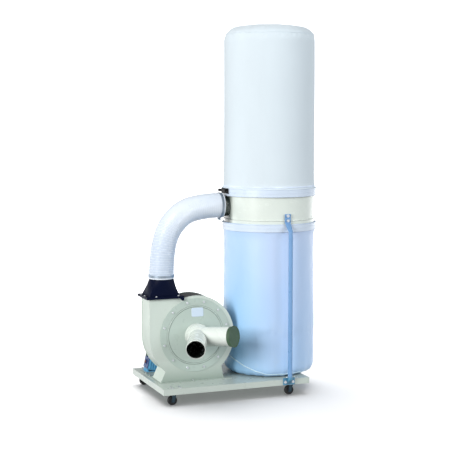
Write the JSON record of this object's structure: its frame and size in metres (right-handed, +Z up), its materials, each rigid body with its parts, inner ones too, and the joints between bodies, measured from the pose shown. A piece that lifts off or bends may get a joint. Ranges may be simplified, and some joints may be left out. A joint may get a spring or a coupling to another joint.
{
  "type": "dust collector",
  "caption": "Wheeled workshop dust collector with a side blower and motor, a two-branch inlet, a ribbed hose and a round drum between a filter bag and a collection bag.",
  "frame": {"origin": "on the floor, below the middle of the machine's bounding box", "axes": "+X to the drum from the blower, +Y from the inlet to the motor, +Z up"},
  "size_m": [1.01, 0.7027, 1.988],
  "materials": {
    "cream_paint": "satin powder coat",
    "navy_plastic": "satin",
    "cap_plastic": "matte",
    "hose_plastic": "pale, ribbed",
    "filter_cloth": "woven filter cloth",
    "collection_film": "thin film",
    "band_steel": "satin",
    "bright_steel": "zinc plated",
    "zinc_steel": "zinc plated",
    "black_steel": "black",
    "strut_paint": "gloss",
    "motor_paint": "gloss",
    "core_steel": "bare",
    "fan_plastic": "matte",
    "impeller_steel": "satin",
    "starter_paint": "gloss",
    "starter_plastic": "satin",
    "green_plastic": "gloss",
    "red_plastic": "gloss",
    "gland_plastic": "matte",
    "lead_rubber": "matte",
    "wheel_rubber": "matte"
  },
  "bodies": {
    "frame": {"base_pan": "cream_paint", "sole_plate": "cream_paint", "blower_front_plate": "cream_paint", "blower_back_plate": "cream_paint", "scroll_band": "cream_paint", "outlet_flange": "cream_paint", "inlet_cover": "cream_paint", "y_fitting": "cream_paint", "collector_drum": "cream_paint", "outlet_adapter": "navy_plastic", "flex_hose": "hose_plastic", "filter_bag": "filter_cloth", "collection_bag": "collection_film", "upper_band": "band_steel", "lower_band": "band_steel", "hose_clamps": "bright_steel", "base_bolts": "bright_steel", "housing_bolts": "bright_steel", "strut_bolts": "bright_steel", "motor_bolts": "bright_steel", "motor_bearings": "bright_steel", "caster_plates": "zinc_steel", "upper_latch_base": "black_steel", "lower_latch_base": "black_steel", "front_strut": "strut_paint", "rear_strut": "strut_paint", "motor_housing": "motor_paint", "front_end_bell": "motor_paint", "rear_end_bell": "motor_paint", "fan_cover": "motor_paint", "terminal_box": "motor_paint", "terminal_box_cover": "motor_paint", "stator": "core_steel", "starter_bracket": "starter_paint", "starter_box": "starter_paint", "starter_cover": "starter_plastic", "cable_glands": "gland_plastic", "motor_lead": "lead_rubber"},
    "fan_rotor": {"motor_shaft": "bright_steel", "rotor_core": "core_steel", "impeller": "impeller_steel", "impeller_nut": "bright_steel", "cooling_fan": "fan_plastic"},
    "upper_latch": {"upper_latch_lever": "black_steel"},
    "lower_latch": {"lower_latch_lever": "black_steel"},
    "start_push": {"start_button": "green_plastic"},
    "stop_push": {"stop_button": "red_plastic"},
    "cap": {"inlet_cap": "cap_plastic"},
    "swivel_front_left": {"fork_front_left": "zinc_steel", "axle_front_left": "zinc_steel"},
    "roller_front_left": {"wheel_front_left": "wheel_rubber"},
    "swivel_front_right": {"fork_front_right": "zinc_steel", "axle_front_right": "zinc_steel"},
    "roller_front_right": {"wheel_front_right": "wheel_rubber"},
    "swivel_rear_left": {"fork_rear_left": "zinc_steel", "axle_rear_left": "zinc_steel"},
    "roller_rear_left": {"wheel_rear_left": "wheel_rubber"},
    "swivel_rear_right": {"fork_rear_right": "zinc_steel", "axle_rear_right": "zinc_steel"},
    "roller_rear_right": {"wheel_rear_right": "wheel_rubber"}
  },
  "joints": [
    {"name": "fan_spin", "type": "hinge", "parent": "frame", "child": "fan_rotor", "pos_m": [-0.232, 0.0425, 0.337], "axis": [0, 1, 0], "continuous": true},
    {"name": "upper_latch_hinge", "type": "hinge", "parent": "frame", "child": "upper_latch", "pos_m": [-0.025, 0.0085, 1.096], "axis": [0, 0, 1], "range_deg": [0, 120]},
    {"name": "lower_latch_hinge", "type": "hinge", "parent": "frame", "child": "lower_latch", "pos_m": [0.43174, 0.24274, 0.909], "axis": [0, 0, 1], "range_deg": [0, 120]},
    {"name": "start_press", "type": "slide", "parent": "frame", "child": "start_push", "axis": [0.9781, 0, -0.2079], "range_m": [0, 0.004], "stiffness_N_per_m": 400, "springref_m": -0.001},
    {"name": "stop_press", "type": "slide", "parent": "frame", "child": "stop_push", "axis": [0.9781, 0, -0.2079], "range_m": [0, 0.004], "stiffness_N_per_m": 400, "springref_m": -0.001},
    {"name": "cap_pull", "type": "slide", "parent": "frame", "child": "cap", "axis": [0.6179, -0.7811, 0.0901], "range_m": [0, 0.06]},
    {"name": "swivel_front_left", "type": "hinge", "parent": "frame", "child": "swivel_front_left", "pos_m": [-0.385, -0.207, 0.074], "axis": [0, 0, 1], "continuous": true},
    {"name": "roll_front_left", "type": "hinge", "parent": "swivel_front_left", "child": "roller_front_left", "pos_m": [-0.404, -0.207, 0.025], "axis": [0, 1, 0], "continuous": true},
    {"name": "swivel_front_right", "type": "hinge", "parent": "frame", "child": "swivel_front_right", "pos_m": [0.278, -0.207, 0.074], "axis": [0, 0, 1], "continuous": true},
    {"name": "roll_front_right", "type": "hinge", "parent": "swivel_front_right", "child": "roller_front_right", "pos_m": [0.259, -0.207, 0.025], "axis": [0, 1, 0], "continuous": true},
    {"name": "swivel_rear_left", "type": "hinge", "parent": "frame", "child": "swivel_rear_left", "pos_m": [-0.385, 0.292, 0.074], "axis": [0, 0, 1], "continuous": true},
    {"name": "roll_rear_left", "type": "hinge", "parent": "swivel_rear_left", "child": "roller_rear_left", "pos_m": [-0.404, 0.292, 0.025], "axis": [0, 1, 0], "continuous": true},
    {"name": "swivel_rear_right", "type": "hinge", "parent": "frame", "child": "swivel_rear_right", "pos_m": [0.278, 0.292, 0.074], "axis": [0, 0, 1], "continuous": true},
    {"name": "roll_rear_right", "type": "hinge", "parent": "swivel_rear_right", "child": "roller_rear_right", "pos_m": [0.259, 0.292, 0.025], "axis": [0, 1, 0], "continuous": true}
  ]
}
